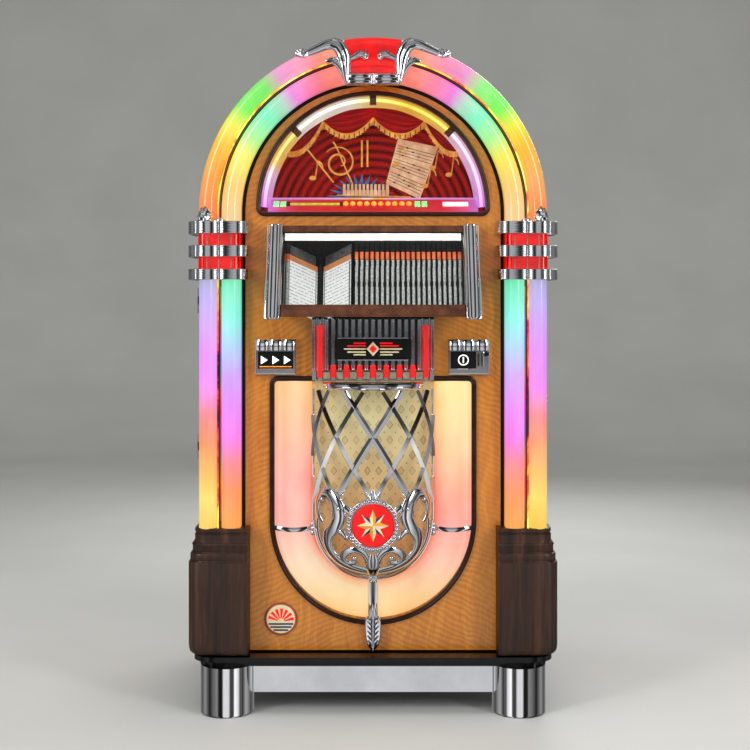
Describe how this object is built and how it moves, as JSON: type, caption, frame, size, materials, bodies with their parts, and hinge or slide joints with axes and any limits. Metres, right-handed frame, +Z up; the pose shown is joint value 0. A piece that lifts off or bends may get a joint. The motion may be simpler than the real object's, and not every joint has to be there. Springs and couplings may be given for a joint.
{
  "type": "jukebox",
  "caption": "Arched jukebox with lit colour columns, domed window, slanted title rack, chrome diamond grille, walnut pilasters and a swing-open front door.",
  "frame": {"origin": "on the floor under the middle of the object's box", "axes": "+Z up, +X to the viewer's right, the front faces -Y"},
  "size_m": [0.84, 0.686, 1.526],
  "materials": {
    "chrome": "polished chrome plate",
    "black_rubber": "matte",
    "black_lacquer": "satin black lacquer",
    "amber_wood": "lacquered veneer",
    "figured_wood": "book-matched figured veneer, gloss lacquer",
    "walnut": "dark walnut, satin",
    "plywood": "raw ply",
    "black_board": "black painted board",
    "black_plastic": "moulded",
    "red_button": "moulded",
    "speaker_black": "paper cone and pressed basket",
    "zinc_steel": "zinc plated",
    "carousel_plastic": "moulded tray with silvery discs",
    "amplifier_aluminium": "black anodised",
    "inner_lens": "translucent, lit from behind",
    "outer_lens": "translucent, lit from behind",
    "bubble_glass": "clear tube",
    "red_translucent": "translucent red",
    "brown_trim": "dark brown",
    "clear_glass": "clear",
    "light_tube": "frosted, lit",
    "maroon_backdrop": "printed scene",
    "copper_brown": "metallic copper brown",
    "page_board": "title strips in black pages",
    "frosted_key": "frosted",
    "lower_lens": "translucent, lit from behind",
    "speaker_cloth": "woven grille cloth with a small diamond pattern",
    "colour_film": "striped colour film"
  },
  "bodies": {
    "cabinet": {"front_feet": "chrome", "rear_feet": "black_rubber", "front_crossbar": "chrome", "plinth": "black_lacquer", "cabinet_shell": "amber_wood", "floor_board": "plywood", "back_panel": "black_board", "power_inlet": "black_plastic", "speaker_baffle": "plywood", "speaker_drivers": "speaker_black", "mechanism_shelf": "plywood", "changer_chassis": "zinc_steel", "amplifier": "amplifier_aluminium", "cash_box": "zinc_steel", "door_hinges": "chrome"},
    "front_door": {"bubble_tubes": "bubble_glass", "coin_box": "chrome", "collar_bands": "red_translucent", "collar_rings": "chrome", "crown_bracket": "chrome", "crown_cap": "red_translucent", "dome_frame": "brown_trim", "dome_glass": "clear_glass", "dome_interior": "maroon_backdrop", "dome_light_tubes": "light_tube", "door_frame": "black_lacquer", "door_panel": "figured_wood", "fluted_panel": "chrome", "grille": "chrome", "grille_cloth": "speaker_cloth", "inner_lenses": "inner_lens", "key_bar": "chrome", "lower_lens": "lower_lens", "lower_trim": "brown_trim", "medallion": "chrome", "message_box": "chrome", "outer_lenses": "outer_lens", "pendant_leaf": "chrome", "pilasters": "walnut", "rack_glass": "clear_glass", "rack_housing": "black_plastic", "rack_posts": "chrome", "rack_rails": "copper_brown", "title_pages": "page_board"},
    "power_rocker": {"power_rocker": "red_button"},
    "disc_carousel": {"disc_carousel": "carousel_plastic"},
    "transfer_arm": {"transfer_arm": "zinc_steel"},
    "door_lock": {"door_lock": "chrome"},
    "turning_page": {"turning_page": "page_board"},
    "reject_button": {"reject_button": "black_plastic"},
    "colour_cylinder_left": {"colour_cylinder_left": "colour_film"},
    "colour_cylinder_right": {"colour_cylinder_right": "colour_film"},
    "selector_key_1": {"selector_key_1": "frosted_key"},
    "selector_key_2": {"selector_key_2": "frosted_key"},
    "selector_key_3": {"selector_key_3": "frosted_key"},
    "selector_key_4": {"selector_key_4": "frosted_key"},
    "selector_key_5": {"selector_key_5": "frosted_key"},
    "selector_key_6": {"selector_key_6": "frosted_key"},
    "selector_key_7": {"selector_key_7": "frosted_key"},
    "selector_key_8": {"selector_key_8": "frosted_key"}
  },
  "joints": [
    {"name": "front_door_hinge", "type": "hinge", "parent": "cabinet", "child": "front_door", "pos_m": [-0.404, -0.14, 0.7], "axis": [0, 0, -1], "range_deg": [0, 100]},
    {"name": "door_lock_turn", "type": "hinge", "parent": "front_door", "child": "door_lock", "pos_m": [0.394, -0.178, 0.7], "axis": [-1, 0, 0], "range_deg": [0, 90]},
    {"name": "page_turn", "type": "hinge", "parent": "front_door", "child": "turning_page", "pos_m": [-0.121, -0.18806, 0.95313], "axis": [0, 0.4226, 0.9063], "range_deg": [0, 62]},
    {"name": "reject_press", "type": "slide", "parent": "front_door", "child": "reject_button", "axis": [0, 1, 0], "range_m": [0, 0.004], "stiffness_N_per_m": 200, "springref_m": -0.001},
    {"name": "left_cylinder_spin", "type": "hinge", "parent": "front_door", "child": "colour_cylinder_left", "pos_m": [-0.344, -0.192, 0.7], "axis": [0, 0, 1], "continuous": true},
    {"name": "right_cylinder_spin", "type": "hinge", "parent": "front_door", "child": "colour_cylinder_right", "pos_m": [0.344, -0.192, 0.7], "axis": [0, 0, 1], "continuous": true},
    {"name": "carousel_spin", "type": "hinge", "parent": "cabinet", "child": "disc_carousel", "pos_m": [0, 0.11, 0.86], "axis": [0, 0, 1], "continuous": true},
    {"name": "transfer_arm_swing", "type": "hinge", "parent": "cabinet", "child": "transfer_arm", "pos_m": [0.215, 0.01, 0.97], "axis": [0, 0, -1], "range_deg": [0, 90]},
    {"name": "power_rocker_tilt", "type": "hinge", "parent": "cabinet", "child": "power_rocker", "pos_m": [0.264, 0.336, 0.21], "axis": [1, 0, 0], "range_deg": [-12, 12]},
    {"name": "key_1_press", "type": "slide", "parent": "front_door", "child": "selector_key_1", "axis": [0, 1, 0], "range_m": [0, 0.003], "stiffness_N_per_m": 200, "springref_m": -0.001},
    {"name": "key_2_press", "type": "slide", "parent": "front_door", "child": "selector_key_2", "axis": [0, 1, 0], "range_m": [0, 0.003], "stiffness_N_per_m": 200, "springref_m": -0.001},
    {"name": "key_3_press", "type": "slide", "parent": "front_door", "child": "selector_key_3", "axis": [0, 1, 0], "range_m": [0, 0.003], "stiffness_N_per_m": 200, "springref_m": -0.001},
    {"name": "key_4_press", "type": "slide", "parent": "front_door", "child": "selector_key_4", "axis": [0, 1, 0], "range_m": [0, 0.003], "stiffness_N_per_m": 200, "springref_m": -0.001},
    {"name": "key_5_press", "type": "slide", "parent": "front_door", "child": "selector_key_5", "axis": [0, 1, 0], "range_m": [0, 0.003], "stiffness_N_per_m": 200, "springref_m": -0.001},
    {"name": "key_6_press", "type": "slide", "parent": "front_door", "child": "selector_key_6", "axis": [0, 1, 0], "range_m": [0, 0.003], "stiffness_N_per_m": 200, "springref_m": -0.001},
    {"name": "key_7_press", "type": "slide", "parent": "front_door", "child": "selector_key_7", "axis": [0, 1, 0], "range_m": [0, 0.003], "stiffness_N_per_m": 200, "springref_m": -0.001},
    {"name": "key_8_press", "type": "slide", "parent": "front_door", "child": "selector_key_8", "axis": [0, 1, 0], "range_m": [0, 0.003], "stiffness_N_per_m": 200, "springref_m": -0.001}
  ]
}
